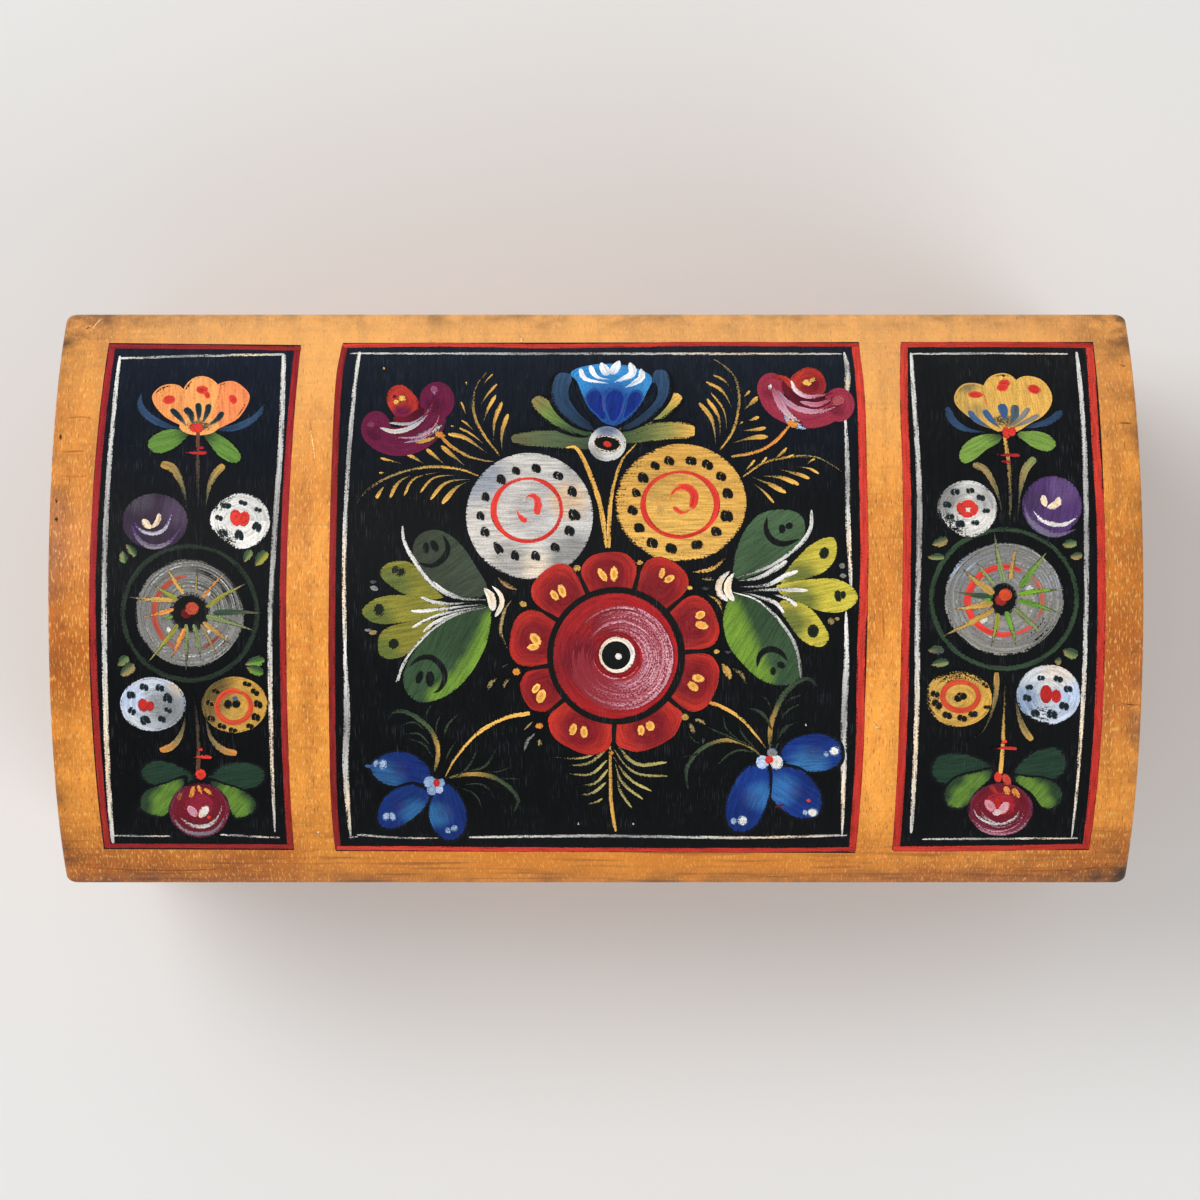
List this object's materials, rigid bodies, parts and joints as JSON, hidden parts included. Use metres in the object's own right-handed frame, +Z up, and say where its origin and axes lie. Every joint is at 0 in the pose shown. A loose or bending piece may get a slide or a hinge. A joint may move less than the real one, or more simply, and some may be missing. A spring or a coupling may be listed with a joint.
{
  "type": "small painted chest",
  "caption": "Small wooden trinket chest with a bent, barrel-arched lid on brass hinges, a swinging brass hook, dovetailed walls and painted rosemaling panels.",
  "frame": {"origin": "under the middle of the chest, on the plane that it stands on", "axes": "+X along the chest's length, to the right when facing its front; +Y from the front to the hinged back; +Z up"},
  "size_m": [0.3006, 0.1612, 0.1613],
  "materials": {
    "stained_wood": "amber stained and varnished, satin",
    "brass": "dull, handled",
    "steel": "dark and dull"
  },
  "bodies": {
    "chest": {"front_board": "stained_wood", "back_board": "stained_wood", "left_end_board": "stained_wood", "right_end_board": "stained_wood", "bottom_board": "stained_wood", "plinth_front": "stained_wood", "plinth_back": "stained_wood", "plinth_left": "stained_wood", "plinth_right": "stained_wood", "bottom_nail_1": "steel", "bottom_nail_2": "steel", "bottom_nail_3": "steel", "bottom_nail_4": "steel", "bottom_nail_5": "steel", "bottom_nail_6": "steel", "bottom_nail_7": "steel", "bottom_nail_8": "steel", "hinge_left_case_leaf": "brass", "hinge_left_pin": "brass", "hinge_left_case_screw_1": "brass", "hinge_left_case_screw_2": "brass", "hinge_left_case_screw_3": "brass", "hinge_right_case_leaf": "brass", "hinge_right_pin": "brass", "hinge_right_case_screw_1": "brass", "hinge_right_case_screw_2": "brass", "hinge_right_case_screw_3": "brass", "hook_pivot_stud": "brass"},
    "lid": {"lid_front_rail": "stained_wood", "lid_back_rail": "stained_wood", "lid_left_end": "stained_wood", "lid_right_end": "stained_wood", "lid_top_board": "stained_wood", "hinge_left_lid_leaf": "brass", "hinge_left_lid_screw_1": "brass", "hinge_left_lid_screw_2": "brass", "hinge_left_lid_screw_3": "brass", "hinge_right_lid_leaf": "brass", "hinge_right_lid_screw_1": "brass", "hinge_right_lid_screw_2": "brass", "hinge_right_lid_screw_3": "brass", "hook_catch_stud": "brass"},
    "hook": {"hook": "brass"}
  },
  "joints": [
    {"name": "lid_hinge", "type": "hinge", "parent": "chest", "child": "lid", "pos_m": [0, 0.0765, 0.1025], "axis": [-1, 0, 0], "range_deg": [0, 170]},
    {"name": "hook_swing", "type": "hinge", "parent": "chest", "child": "hook", "pos_m": [0, -0.0743, 0.0915], "axis": [0, 1, 0], "range_deg": [-155, 180]}
  ]
}
